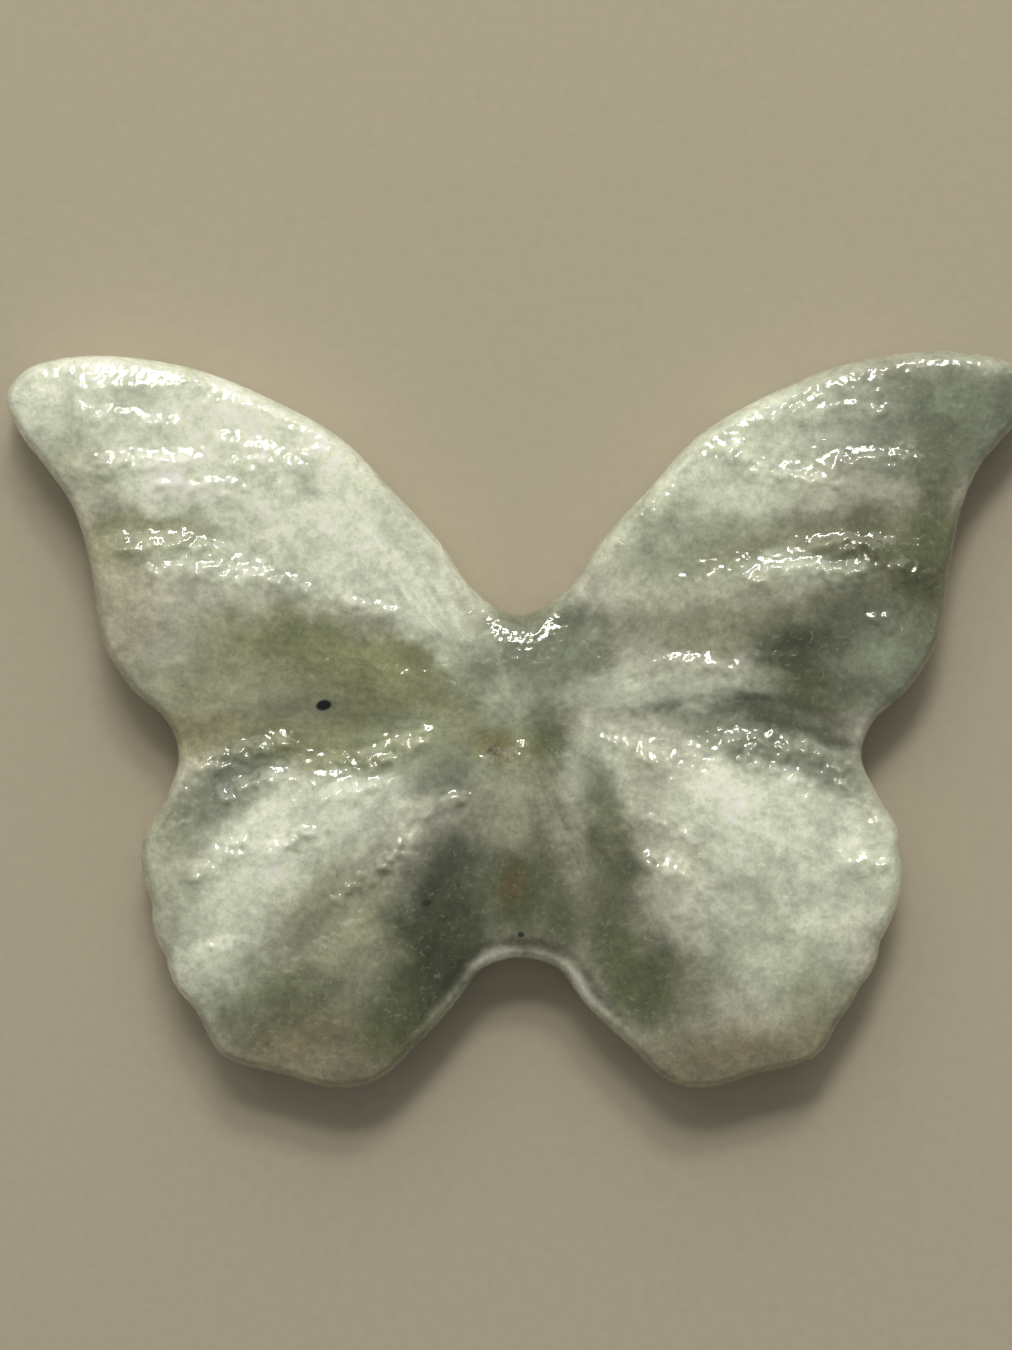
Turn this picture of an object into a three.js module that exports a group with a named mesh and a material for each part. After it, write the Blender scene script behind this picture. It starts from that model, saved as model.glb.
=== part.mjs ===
// Butterfly pendant carved from one piece of jade, lying on its flat back.
// X runs across the wings, Y from the tail to the head, Z up out of the carved face.
// Sizes are millimetres, and the origin is the middle of the footprint on the back.
import * as THREE from "three";
import { ConvexHull } from "three/addons/math/ConvexHull.js";

// Driving dimensions
const FLANK_TOP = 2.2; // height at which the rim starts to roll over into the face
const EDGE_ROLL = 0.6; // how far in from the rim the rolled edge reaches
const EDGE_RISE = 1.0; // how much the rolled edge climbs
const CROWN_REACH = 5.0; // how far in from the rim the wing's crown lies
const CROWN_RISE = 0.12; // how much the wing climbs from its rolled edge to its crown
const BACK_ROUND = 0.45; // rounding where the rim meets the back
const COSTA_DROP = 0.16; // how much lower the left wing's front edge was ground
const DROP_START = { x: 4, y: 6 }; // where that drop begins, out along the wing and up it
const DROP_FULL = { x: 8, y: 9 }; // where it is full

// Mesh steps
const RIM_STEPS = 248;
const BACK_TURNS = [0, 30, 60, 90]; // degrees round the rounding of the back's edge, one ring at each
const EDGE_INSETS = [0.05, 0.18, 0.38]; // rings over the rolled edge
const FACE_STEP = 0.49; // side of the even triangles that cover the face
const EDGE_CLEARANCE = 0.55; // share of a step kept clear between the net's points and its ring
const STROKE_STEPS = 24;

// Right half of the rim, from the tail notch round the lower and the upper wing to the head notch.
// A third number is the left side's own distance from the midline, where the two wings differ.
const TAIL_NOTCH = [0.0, -8.34];
const LOWER_WING = [
  [1.3, -8.7],
  [2.25, -9.9],
  [3.9, -11.5, 3.7],
  [5.1, -12.6, 4.95],
  [6.3, -12.9],
  [8.3, -12.42],
  [10.4, -11.75],
  [11.35, -10.2],
  [12.2, -8.8],
  [12.95, -6.6, 12.85],
  [13.25, -4.3, 12.98],
  [12.75, -3.0, 12.5],
];
const UPPER_WING = [
  [11.97, -1.3],
  [12.35, -0.1],
  [13.65, 1.15],
  [14.6, 2.75],
  [15.03, 5.3],
  [15.5, 7.5, 15.65],
  [16.1, 8.85, 16.5],
  [17.25, 10.25, 17.55],
  [18.0, 11.45],
  [17.35, 12.4],
  [15.3, 12.92],
  [11.6, 12.52],
  [8.7, 11.4],
  [6.3, 10.0],
  [4.5, 8.1],
  [2.8, 6.25],
  [1.6, 4.55],
];
const HEAD_NOTCH = [0.0, 3.68];

// Cusps between the lobes of the lower wings' margins, how far out the margin starts
// and how far each lobe swells out, as a share of its length.
const RIGHT_CUSPS = [-2.9, -4.45, -7.75, -9.35, -10.6];
const LEFT_CUSPS = [-2.75, -6.45, -8.3, -10.05];
const MARGIN_START = 10.0;
const LOBE_SWELL = 0.07;

// Cuts and swells of each wing pair: start, bend and end of the stroke, then its rise
// and the half widths of its front side and its rear side.
const RIGHT_STROKES = {
  "front hollow": { path: [[8.8, 9.4], [11.0, 10.3], [14.5, 9.9]], rise: -0.06, front: 0.5, rear: 0.8 },
  "fourth row": { path: [[15.2, 8.8], [13.0, 9.1], [10.5, 8.8]], rise: 0.06, front: 0.6, rear: 0.7 },
  "middle hollow": { path: [[5.4, 6.4], [9.5, 6.6], [14.7, 7.4]], rise: -0.14, front: 0.5, rear: 1.3 },
  "fifth row": { path: [[14.2, 5.8], [11.5, 6.3], [9.4, 5.9]], rise: 0.05, front: 0.6, rear: 0.6 },
  "sixth row": { path: [[14.6, 5.0], [10.5, 5.7], [6.4, 4.8]], rise: 0.06, front: 0.6, rear: 0.8 },
  "hind hollow": { path: [[4.6, 3.0], [9.4, 2.9], [14.4, 4.4]], rise: -0.12, front: 0.7, rear: 1.6 },
  "hind vein": { path: [[3.0, 1.5], [5.0, 2.8], [11.8, 1.2]], rise: 0.12, front: 1.5, rear: 0.5 },
  "wing trough": { path: [[4.2, 0.0], [9.4, 1.9], [12.3, -1.5]], rise: -0.28, front: 0.3, rear: 2.0 },
  "lower crest": { path: [[2.8, -2.0], [8.0, -3.0], [12.2, -6.0]], rise: 0.26, front: 2.0, rear: 1.7 },
  "lower valley": { path: [[2.6, -1.9], [5.6, -4.0], [8.9, -8.4]], rise: -0.16, front: 0.6, rear: 0.6 },
  "inner lobe": { path: [[2.5, -3.6], [4.6, -5.0], [7.4, -8.8]], rise: 0.12, front: 0.8, rear: 0.8 },
  "root groove": { path: [[1.4, -0.6], [2.0, -2.0], [2.2, -4.8]], rise: -0.12, front: 0.5, rear: 0.5 },
};
const LEFT_STROKES = {
  "fourth row": { path: [[15.2, 8.7], [12.5, 9.0], [7.6, 8.8]], rise: 0.06, front: 0.6, rear: 0.7 },
  "middle hollow": { path: [[14.7, 6.9], [12.0, 7.4], [9.4, 6.7]], rise: -0.14, front: 0.5, rear: 1.1 },
  "sixth row": { path: [[14.6, 5.6], [11.0, 5.7], [5.4, 3.6]], rise: 0.06, front: 0.6, rear: 0.8 },
  "front lobe edge": { path: [[9.8, 6.2], [7.4, 3.9], [2.0, 2.4]], rise: -0.14, front: 0.25, rear: 1.7 },
  "hind vein": { path: [[9.2, 1.7], [6.0, 1.95], [2.2, 1.0]], rise: 0.06, front: 0.7, rear: 0.5 },
  "wing trough": { path: [[12.4, -1.5], [9.2, 0.9], [4.6, -0.4]], rise: -0.26, front: 0.6, rear: 2.0 },
  "lower crest": { path: [[2.8, -2.0], [7.4, -3.0], [11.6, -6.6]], rise: 0.26, front: 2.0, rear: 1.7 },
  "lower valley": { path: [[2.2, -2.4], [4.6, -5.4], [9.4, -8.9]], rise: -0.16, front: 0.65, rear: 0.65 },
  "inner lobe": { path: [[3.2, -4.6], [4.9, -6.2], [7.6, -9.9]], rise: 0.12, front: 0.8, rear: 0.8 },
  "root groove": { path: [[1.4, -0.6], [1.9, -2.4], [2.0, -5.0]], rise: -0.12, front: 0.5, rear: 0.5 },
};

// The body on the midline: two domes, flat-topped and soft-footed by shares of their half sizes,
// the tapering tail with the stretch over which each end fades, and two drilled pits at the waist.
const THORAX = { x: 0.1, y: 1.3, halfX: 2.1, halfY: 2.6, rise: 0.36 };
const HEAD = { x: 0.2, y: 2.5, halfX: 1.3, halfY: 1.1, rise: 0.14 };
const DOME_TOP = 0.1;
const DOME_FOOT = 1.15;
const TAIL_ROOT = { y: -0.9, rise: 0.45, width: 0.95, fadeFrom: 0.8, fadeTo: -0.8 };
const TAIL_END = { y: -7.4, rise: 0.18, width: 0.5, fadeFrom: -0.8, fadeTo: 1.5 };
const WAIST_PITS = [
  { x: -0.8, y: -0.85, size: 0.5, rise: -0.1 },
  { x: 0.95, y: -0.75, size: 0.5, rise: -0.1 },
];

// Bevel cut along the tail notch: full depth over its flat and out to its full reach, then fading.
const NOTCH_BEVEL = { flat: 0.42, width: 0.9, depth: 0.28, fullReach: 2.5, reach: 4.2 };

const { clamp, degToRad, lerp, mapLinear, smoothstep } = THREE.MathUtils;

// Even steps round the rim, anticlockwise, each with its point and its inward direction.
function rimColumns() {
  const right = [TAIL_NOTCH, ...LOWER_WING, ...UPPER_WING, HEAD_NOTCH];
  const left = right.slice(1, -1).reverse().map(([x, y, leftX = x]) => [-leftX, y - leftDrop(x, y)]);
  const corners = [...right, ...left].map(([x, y]) => new THREE.Vector3(x, y, 0));
  const rim = new THREE.CatmullRomCurve3(corners, true, "centripetal");
  return Array.from({ length: RIM_STEPS }, (_, i) => {
    const point = rim.getPointAt(i / RIM_STEPS);
    const along = rim.getTangentAt(i / RIM_STEPS);
    const inward = new THREE.Vector2(-along.y, along.x).normalize();
    return { edge: new THREE.Vector2(point.x, point.y).addScaledVector(inward, -scallop(point)), inward };
  });
}

function leftDrop(x, y) {
  return COSTA_DROP * smoothstep(x, DROP_START.x, DROP_FULL.x) * smoothstep(y, DROP_START.y, DROP_FULL.y);
}

// Outward swell of each lobe between two cusps of the lower wings' margins.
function scallop({ x, y }) {
  const cusps = x < 0 ? LEFT_CUSPS : RIGHT_CUSPS;
  const lobe = cusps.findIndex((cusp, i) => i > 0 && y < cusps[i - 1] && y > cusp);
  if (Math.abs(x) < MARGIN_START || lobe < 0) return 0;
  const length = cusps[lobe - 1] - cusps[lobe];
  return LOBE_SWELL * length * Math.sin((Math.PI * (cusps[lobe - 1] - y)) / length);
}

// Distance from an open or closed line of points to a point, and how squarely towards the head it lies.
function nearestOn(line, x, y, closed) {
  const best = { distance: Infinity, ahead: 0 };
  const last = closed ? line.length : line.length - 1;
  for (let i = 0; i < last; i++) {
    const a = line[i];
    const b = line[(i + 1) % line.length];
    const dx = b.x - a.x;
    const dy = b.y - a.y;
    const s = clamp(((x - a.x) * dx + (y - a.y) * dy) / (dx * dx + dy * dy), 0, 1);
    const offsetY = y - a.y - s * dy;
    const distance = Math.hypot(x - a.x - s * dx, offsetY);
    if (distance < best.distance) {
      best.distance = distance;
      best.ahead = distance > 0 ? offsetY / distance : 0;
    }
  }
  return best;
}

const bell = (u) => Math.exp(-u * u);

function strokeLines(strokes) {
  return Object.values(strokes).map(({ path, ...shape }) => {
    const [start, bend, end] = path.map(([x, y]) => new THREE.Vector2(x, y));
    return { line: new THREE.QuadraticBezierCurve(start, bend, end).getPoints(STROKE_STEPS), ...shape };
  });
}

// Height that a stroke adds at a place: a bell across it, with a front side and a rear side of their own.
function strokeRelief({ line, rise, front, rear }, x, y) {
  const { distance, ahead } = nearestOn(line, x, y, false);
  return rise * bell(distance / mapLinear(ahead, -1, 1, rear, front));
}

function dome({ x: cx, y: cy, halfX, halfY, rise }, x, y) {
  return rise * (1 - smoothstep(Math.hypot((x - cx) / halfX, (y - cy) / halfY), DOME_TOP, DOME_FOOT));
}

function tail(x, y) {
  const down = clamp((TAIL_ROOT.y - y) / (TAIL_ROOT.y - TAIL_END.y), 0, 1);
  const rooted = 1 - smoothstep(y, TAIL_ROOT.y + TAIL_ROOT.fadeTo, TAIL_ROOT.y + TAIL_ROOT.fadeFrom);
  const ended = smoothstep(y, TAIL_END.y + TAIL_END.fadeFrom, TAIL_END.y + TAIL_END.fadeTo);
  const width = lerp(TAIL_ROOT.width, TAIL_END.width, down);
  return lerp(TAIL_ROOT.rise, TAIL_END.rise, down) * rooted * ended * bell(x / width);
}

function bodyRelief(x, y) {
  const pits = WAIST_PITS.reduce((sum, p) => sum + p.rise * bell(Math.hypot(x - p.x, y - p.y) / p.size), 0);
  return Math.max(dome(THORAX, x, y), dome(HEAD, x, y)) + tail(x, y) + pits;
}

function notchBevel(x, y, inset) {
  if (y > TAIL_ROOT.y) return 0;
  const beside = 1 - smoothstep(Math.abs(x), NOTCH_BEVEL.fullReach, NOTCH_BEVEL.reach);
  return -NOTCH_BEVEL.depth * beside * (1 - smoothstep(inset, NOTCH_BEVEL.flat, NOTCH_BEVEL.width));
}

// Height of the carved face above the back, for a plan of the rim.
function carvedFace(plan) {
  const rightLines = strokeLines(RIGHT_STROKES);
  const leftLines = strokeLines(LEFT_STROKES);

  function wingRelief(x, y) {
    const lines = x < 0 ? leftLines : rightLines;
    return lines.reduce((sum, stroke) => sum + strokeRelief(stroke, Math.abs(x), y), 0);
  }

  return (x, y) => {
    const inset = nearestOn(plan, x, y, true).distance;
    const roll = 1 - clamp(inset / EDGE_ROLL, 0, 1);
    const crown = 1 - clamp(inset / CROWN_REACH, 0, 1);
    const base = FLANK_TOP + EDGE_RISE * Math.sqrt(1 - roll * roll) + CROWN_RISE * (1 - crown * crown);
    const relief = wingRelief(x, y) + bodyRelief(x, y) + notchBevel(x, y, inset);
    return base + smoothstep(inset, 0, EDGE_ROLL) * relief;
  };
}

const signedArea = (p, q, r) => (q.x - p.x) * (r.y - p.y) - (q.y - p.y) * (r.x - p.x);

// Turns a triangle so that it runs anticlockwise in plan, seen from above.
function facingUp(points, [a, b, c]) {
  return signedArea(points[a], points[b], points[c]) > 0 ? [a, b, c] : [a, c, b];
}

function insideRing(ring, x, y) {
  return ring.reduce((inside, a, i) => {
    const b = ring[(i + 1) % ring.length];
    const crosses = a.y > y !== b.y > y && x < ((b.x - a.x) * (y - a.y)) / (b.y - a.y) + a.x;
    return crosses ? !inside : inside;
  }, false);
}

// Points of an even triangular grid that lie well inside a ring.
function gridInside(ring) {
  const box = new THREE.Box2().setFromPoints(ring);
  const rowStep = (FACE_STEP * Math.sqrt(3)) / 2;
  const points = [];
  for (let row = 0, y = box.min.y; y < box.max.y; row++, y += rowStep) {
    for (let x = box.min.x + (row % 2) * (FACE_STEP / 2); x < box.max.x; x += FACE_STEP) {
      const clear = nearestOn(ring, x, y, true).distance > FACE_STEP * EDGE_CLEARANCE;
      if (clear && insideRing(ring, x, y)) points.push(new THREE.Vector2(x, y));
    }
  }
  return points;
}

// Triangles over a ring and the points inside it: lifted on to a bowl, the points' convex hull has
// the best-shaped triangles on its underside.
function triangulate(ring, inner) {
  const points = [...ring, ...inner];
  const lifted = points.map(({ x, y }, index) => {
    return Object.assign(new THREE.Vector3(x, y, x * x + y * y), { index });
  });
  const faces = new ConvexHull().setFromPoints(lifted).faces.filter((face) => face.normal.z < 0);
  const triangles = faces.map(({ edge }) => {
    return [edge, edge.next, edge.prev].map((side) => side.head().point.index);
  });
  const kept = triangles.filter((corners) => {
    const [x, y] = ["x", "y"].map((axis) => corners.reduce((sum, i) => sum + points[i][axis] / 3, 0));
    return insideRing(ring, x, y);
  });
  return kept.map((corners) => facingUp(points, corners));
}

// Rings from the back's edge, up the flank and over the rolled edge, each with its plan and its heights.
function edgeRings(columns, height) {
  const inset = (distance) => {
    return columns.map(({ edge, inward }) => edge.clone().addScaledVector(inward, distance));
  };
  const level = (z) => () => z;
  const back = BACK_TURNS.map(degToRad).map((turn) => {
    return { plan: inset(BACK_ROUND * (1 - Math.sin(turn))), z: level(BACK_ROUND * (1 - Math.cos(turn))) };
  });
  const over = EDGE_INSETS.map((distance) => ({ plan: inset(distance), z: height }));
  return [...back, { plan: inset(0), z: level(FLANK_TOP) }, ...over];
}

// The edge's rings, then an even net over the face and a flat back.
function butterflyGeometry() {
  const columns = rimColumns();
  const height = carvedFace(columns.map((column) => column.edge));
  const rings = edgeRings(columns, height);
  const positions = rings.flatMap(({ plan, z }) => plan.flatMap((p) => [p.x, p.y, z(p.x, p.y)]));
  const flat = rings[0].plan;
  const indices = THREE.ShapeUtils.triangulateShape(flat, []).flatMap((corners) => {
    return facingUp(flat, corners).reverse();
  });
  for (let ring = 0; ring < rings.length - 1; ring++) {
    for (let i = 0; i < RIM_STEPS; i++) {
      const here = ring * RIM_STEPS + i;
      const next = ring * RIM_STEPS + ((i + 1) % RIM_STEPS);
      indices.push(here, next, next + RIM_STEPS, here, next + RIM_STEPS, here + RIM_STEPS);
    }
  }
  const face = rings.at(-1).plan;
  const inner = gridInside(face);
  positions.push(...inner.flatMap(({ x, y }) => [x, y, height(x, y)]));
  const firstIndex = (rings.length - 1) * RIM_STEPS;
  indices.push(...triangulate(face, inner).flat().map((index) => firstIndex + index));

  const geometry = new THREE.BufferGeometry();
  geometry.setAttribute("position", new THREE.Float32BufferAttribute(positions, 3));
  geometry.setIndex(indices);
  geometry.computeVertexNormals();
  return geometry;
}

const jade = new THREE.MeshStandardMaterial({ color: 0x9fa88f, roughness: 0.18, metalness: 0 });

function butterfly() {
  const mesh = new THREE.Mesh(butterflyGeometry(), jade);
  mesh.name = "butterfly";
  return mesh;
}

const pendant = new THREE.Group();
pendant.add(butterfly());
export default pendant;
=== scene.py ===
"""Butterfly pendant carved in low relief from one piece of mottled jade, lying on its flat back."""

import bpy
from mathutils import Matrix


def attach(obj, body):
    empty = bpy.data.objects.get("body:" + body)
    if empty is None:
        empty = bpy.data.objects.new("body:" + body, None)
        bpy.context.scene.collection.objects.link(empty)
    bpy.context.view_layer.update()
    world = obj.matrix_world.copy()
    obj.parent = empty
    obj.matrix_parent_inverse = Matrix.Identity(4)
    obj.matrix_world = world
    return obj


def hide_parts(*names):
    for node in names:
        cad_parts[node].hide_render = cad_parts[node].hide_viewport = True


bl_info = {
    "name": "Jade Butterfly Pendant",
    "version": (1, 0, 0),
    "blender": (4, 5, 0),
    "location": "View3D > Sidebar > Butterfly",
    "description": "Carves the pendant, gives it its cloudy stone and lights it on a plain floor",
    "category": "Object",
}

import math

import bpy
import numpy as np
from bpy.props import FloatProperty, FloatVectorProperty, IntProperty, PointerProperty
from mathutils import Vector, noise
from mathutils.geometry import delaunay_2d_cdt

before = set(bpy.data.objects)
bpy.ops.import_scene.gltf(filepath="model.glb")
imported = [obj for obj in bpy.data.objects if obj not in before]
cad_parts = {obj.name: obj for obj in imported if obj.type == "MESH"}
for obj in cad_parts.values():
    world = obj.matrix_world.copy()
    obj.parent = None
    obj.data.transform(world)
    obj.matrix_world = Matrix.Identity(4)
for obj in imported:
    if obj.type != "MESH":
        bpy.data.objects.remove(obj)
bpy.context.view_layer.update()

MM = 0.001
NODE = "butterfly"
BODY = "root"

# Right half of the rim in millimetres, from the tail notch round both wings to the head notch.
# A third number is the left side's own distance from the midline, where the two wings differ.
TAIL_NOTCH = (0.0, -8.34)
LOWER_WING = (
    (1.3, -8.7),
    (2.25, -9.9),
    (3.9, -11.5, 3.7),
    (5.1, -12.6, 4.95),
    (6.3, -12.9),
    (8.3, -12.42),
    (10.4, -11.75),
    (11.35, -10.2),
    (12.2, -8.8),
    (12.95, -6.6, 12.85),
    (13.25, -4.3, 12.98),
    (12.75, -3.0, 12.5),
)
UPPER_WING = (
    (11.97, -1.3),
    (12.35, -0.1),
    (13.65, 1.15),
    (14.6, 2.75),
    (15.03, 5.3),
    (15.5, 7.5, 15.65),
    (16.1, 8.85, 16.5),
    (17.25, 10.25, 17.55),
    (18.0, 11.45),
    (17.35, 12.4),
    (15.3, 12.92),
    (11.6, 12.52),
    (8.7, 11.4),
    (6.3, 10.0),
    (4.5, 8.1),
    (2.8, 6.25),
    (1.6, 4.55),
)
HEAD_NOTCH = (0.0, 3.68)

# How much lower the front edge of the left wing lies, and between which places that comes in, in millimetres.
COSTA_DROP = 0.16
DROP_START = (4, 6)
DROP_FULL = (8, 9)

# Cusps between the lobes of the lower wings' margins: how far down they lie and how far out the margins
# start, in millimetres, and the swell of a lobe by a share of its length.
MARGIN_CUSPS = {"right": (-2.9, -4.45, -7.75, -9.35, -10.6), "left": (-2.75, -6.45, -8.3, -10.05)}
MARGIN_START = 10.0
LOBE_SWELL = 0.07

# How the skin is meshed: rings round the lower edge and up the flank, which share one, insets of the rings on
# the rolled edge by shares of its width, room beside a ring by shares of a net's step, rounds that even the
# face, and gaps in millimetres and in metres that count as none.
BACK_RINGS = 6
FLANK_RINGS = 4
EDGE_INSETS = (0.015, 0.045, 0.09, 0.15, 0.23, 0.32, 0.43, 0.55)
NET_CLEARANCE = 0.55
EVENING_ROUNDS = 60
MERGE_GAP = 1e-6
LEAST_GAP = 1e-9

# Cuts and swells of each wing pair in millimetres: start, bend and end, then rise,
# and the half widths of its front side and its rear side.
RIGHT_STROKES = {
    "front hollow": ((8.8, 9.4), (11.0, 10.3), (14.5, 9.9), -0.06, 0.5, 0.8),
    "fourth row": ((15.2, 8.8), (13.0, 9.1), (10.5, 8.8), 0.06, 0.6, 0.7),
    "middle hollow": ((5.4, 6.4), (9.5, 6.6), (14.7, 7.4), -0.14, 0.5, 1.3),
    "fifth row": ((14.2, 5.8), (11.5, 6.3), (9.4, 5.9), 0.05, 0.6, 0.6),
    "sixth row": ((14.6, 5.0), (10.5, 5.7), (6.4, 4.8), 0.06, 0.6, 0.8),
    "hind hollow": ((4.6, 3.0), (9.4, 2.9), (14.4, 4.4), -0.12, 0.7, 1.6),
    "hind vein": ((3.0, 1.5), (5.0, 2.8), (11.8, 1.2), 0.12, 1.5, 0.5),
    "wing trough": ((4.2, 0.0), (9.4, 1.9), (12.3, -1.5), -0.28, 0.3, 2.0),
    "lower crest": ((2.8, -2.0), (8.0, -3.0), (12.2, -6.0), 0.26, 2.0, 1.7),
    "lower valley": ((2.6, -1.9), (5.6, -4.0), (8.9, -8.4), -0.16, 0.6, 0.6),
    "inner lobe": ((2.5, -3.6), (4.6, -5.0), (7.4, -8.8), 0.12, 0.8, 0.8),
    "root groove": ((1.4, -0.6), (2.0, -2.0), (2.2, -4.8), -0.12, 0.5, 0.5),
}
LEFT_STROKES = {
    "fourth row": ((15.2, 8.7), (12.5, 9.0), (7.6, 8.8), 0.06, 0.6, 0.7),
    "middle hollow": ((14.7, 6.9), (12.0, 7.4), (9.4, 6.7), -0.14, 0.5, 1.1),
    "sixth row": ((14.6, 5.6), (11.0, 5.7), (5.4, 3.6), 0.06, 0.6, 0.8),
    "front lobe edge": ((9.8, 6.2), (7.4, 3.9), (2.0, 2.4), -0.14, 0.25, 1.7),
    "hind vein": ((9.2, 1.7), (6.0, 1.95), (2.2, 1.0), 0.06, 0.7, 0.5),
    "wing trough": ((12.4, -1.5), (9.2, 0.9), (4.6, -0.4), -0.26, 0.6, 2.0),
    "lower crest": ((2.8, -2.0), (7.4, -3.0), (11.6, -6.6), 0.26, 2.0, 1.7),
    "lower valley": ((2.2, -2.4), (4.6, -5.4), (9.4, -8.9), -0.16, 0.65, 0.65),
    "inner lobe": ((3.2, -4.6), (4.9, -6.2), (7.6, -9.9), 0.12, 0.8, 0.8),
    "root groove": ((1.4, -0.6), (1.9, -2.4), (2.0, -5.0), -0.12, 0.5, 0.5),
}

# Short fine rows left by the rubbing stone, too low for the solid. They have half widths on their front and
# rear sides, end some rear half widths out, and are broken into beads of one size by a share of their height.
# Each row gives its start, bend, end and rise in millimetres.
FINE_ROW_FRONT = 0.3
FINE_ROW_REAR = 0.4
FINE_ROW_FADED = 3
FINE_ROW_STEPS = 10
BEAD = 0.28
BEADING = 1.0
FINE_ROWS = (
    ((-15.2, 11.6), (-14.0, 11.7), (-12.9, 11.5), 0.08),
    ((-15.2, 10.7), (-13.6, 10.5), (-12.1, 10.2), 0.1),
    ((-11.2, 11.9), (-11.0, 11.5), (-11.0, 11.1), 0.07),
    ((-9.5, 11.1), (-9.2, 11.0), (-8.9, 10.8), 0.07),
    ((-10.3, 9.7), (-8.8, 9.4), (-7.6, 8.6), 0.08),
    ((-9.8, 8.9), (-8.8, 8.7), (-8.0, 8.0), 0.07),
    ((-14.7, 8.8), (-13.2, 9.1), (-11.6, 8.9), 0.13),
    ((-12.9, 8.1), (-11.2, 8.3), (-9.7, 8.0), 0.1),
    ((-14.1, 6.0), (-12.4, 6.3), (-10.5, 5.9), 0.15),
    ((-12.9, 5.1), (-10.4, 5.4), (-7.4, 4.5), 0.11),
    ((-9.3, 6.0), (-8.4, 4.4), (-4.4, 3.7), 0.07),
    ((9.1, 12.1), (10.8, 12.3), (12.6, 12.2), 0.08),
    ((9.4, 11.4), (10.6, 11.7), (12.4, 11.6), 0.08),
    ((9.0, 10.6), (10.4, 10.9), (12.6, 10.8), 0.1),
    ((7.5, 9.3), (9.0, 8.1), (10.9, 8.3), 0.15),
    ((10.9, 8.9), (12.4, 9.2), (13.6, 9.0), 0.1),
    ((10.5, 6.0), (11.5, 6.2), (12.6, 5.9), 0.16),
    ((8.1, 4.9), (9.9, 5.5), (11.8, 5.1), 0.15),
    ((10.8, 5.1), (12.6, 5.5), (14.3, 5.0), 0.11),
    ((4.9, 1.8), (6.2, 2.1), (7.5, 1.8), 0.08),
    ((12.2, 3.5), (12.8, 3.5), (13.2, 3.2), 0.08),
    ((-12.0, -2.2), (-10.2, -1.1), (-8.2, -0.8), 0.15),
    ((-11.3, -5.4), (-10.5, -4.7), (-9.7, -4.4), 0.15),
    ((-8.6, -4.6), (-8.0, -4.2), (-7.2, -3.9), 0.15),
    ((-5.2, -1.5), (-4.4, -1.0), (-3.4, -0.6), 0.15),
    ((-10.3, -2.7), (-9.8, -2.4), (-8.6, -2.0), 0.15),
    ((-6.6, -2.8), (-5.9, -2.5), (-5.0, -2.3), 0.15),
    ((-3.1, -3.2), (-2.6, -2.9), (-2.1, -2.7), 0.15),
    ((-6.4, -6.3), (-5.4, -5.5), (-4.6, -5.0), 0.17),
    ((-4.5, -4.9), (-4.2, -4.5), (-3.8, -4.1), 0.17),
    ((-11.1, -8.1), (-10.6, -8.0), (-10.2, -7.9), 0.11),
    ((7.4, -0.8), (8.9, -0.5), (11.6, -1.9), 0.15),
    ((7.9, -1.4), (8.9, -1.5), (10.0, -2.4), 0.13),
    ((10.9, -2.1), (11.9, -2.7), (12.5, -3.4), 0.13),
    ((3.2, -0.6), (4.0, -0.9), (4.7, -1.5), 0.13),
    ((4.6, -3.4), (5.2, -3.6), (5.9, -4.2), 0.15),
    ((4.6, -4.9), (5.5, -5.1), (6.4, -5.9), 0.15),
    ((11.4, -5.0), (12.2, -4.9), (13.0, -5.0), 0.1),
)

# The body on the midline in millimetres: two domes, flat-topped and soft-footed by shares of their half
# sizes, the tapering tail with the stretch over which each end fades, and two drilled pits at the waist.
THORAX = {"centre": (0.1, 1.3), "half": (2.1, 2.6), "rise": 0.36}
HEAD = {"centre": (0.2, 2.5), "half": (1.3, 1.1), "rise": 0.14}
DOME_TOP, DOME_FOOT = 0.1, 1.15
TAIL = {
    "root": -0.9, "end": -7.4,
    "root_rise": 0.45, "end_rise": 0.18,
    "root_width": 0.95, "end_width": 0.5,
}
ROOT_FADE, END_FADE = (0.8, -0.8), (-0.8, 1.5)
WAIST_PITS = (
    {"centre": (-0.8, -0.85), "size": 0.5, "rise": -0.1},
    {"centre": (0.95, -0.75), "size": 0.5, "rise": -0.1},
)
NOTCH_BEVEL = {"flat": 0.42, "width": 0.9, "depth": 0.28, "full_reach": 2.5, "reach": 4.2}

# Traces of hand polishing in millimetres: the broad and the fine waves, and the long narrow rows, which are
# weaker towards the tail.
BROAD_WAVE, FINE_WAVE = 1.5, 0.62
BROAD_SHARE = 0.7
ROW_LENGTH, ROW_WIDTH = 2.6, 0.5
ROW_SHARE_REAR = 0.35
ROW_REAR, ROW_FRONT = -1.0, 4.0

# Slices through one noise, so that what is drawn with it doesn't repeat.
SLICES = {"broad wave": 3.1, "fine wave": 7.7, "row": 5.2, "bead": 9.4}

# Tints of the stone as they look in even light.
TINTS = {
    "snow": (0.92, 0.94, 0.86),
    "frost": (0.86, 0.88, 0.80),
    "celadon": (0.73, 0.76, 0.67),
    "sage": (0.59, 0.60, 0.50),
    "lichen": (0.52, 0.55, 0.47),
    "khaki": (0.56, 0.54, 0.40),
    "olive": (0.53, 0.55, 0.40),
    "umber": (0.50, 0.46, 0.34),
    "rust": (0.43, 0.37, 0.25),
    "moss": (0.36, 0.38, 0.26),
    "slate": (0.27, 0.29, 0.21),
    "black": (0.03, 0.03, 0.03),
}

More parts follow.
